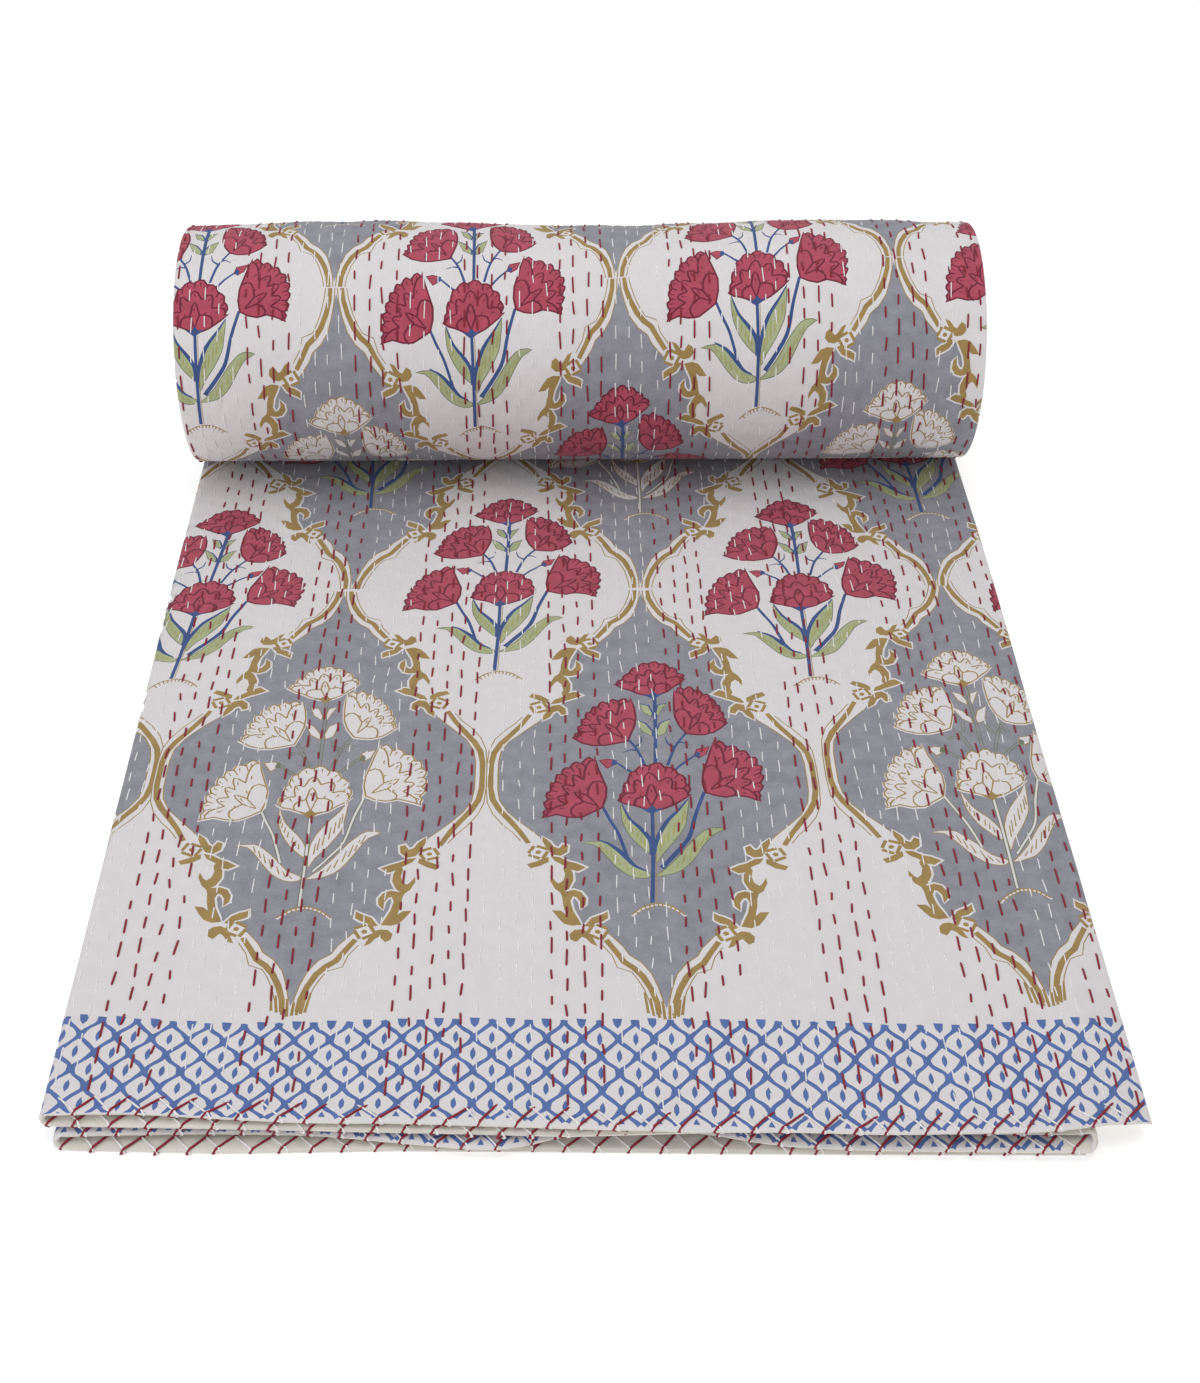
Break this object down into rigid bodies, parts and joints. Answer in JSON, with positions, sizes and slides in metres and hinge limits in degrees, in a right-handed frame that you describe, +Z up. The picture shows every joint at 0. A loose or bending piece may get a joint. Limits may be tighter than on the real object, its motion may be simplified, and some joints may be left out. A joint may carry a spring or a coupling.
{
  "type": "kantha quilt, folded and rolled",
  "caption": "Hand-quilted cotton bed quilt with block-printed flowers, folded lengthwise into layers and rolled up from its far end, resting flat.",
  "frame": {"origin": "middle of the bounding box's underside, on the surface the quilt rests on", "axes": "+X to the right along the roll, on the side of the top layer's free edge; -Y towards the folded run's hems and +Y towards the roll; +Z up"},
  "size_m": [0.576, 0.7866, 0.1899],
  "materials": {
    "printed_cotton": "matt block-printed cotton, hand quilted with running stitch"
  },
  "bodies": {
    "root": {"quilt": "printed_cotton"}
  },
  "joints": []
}
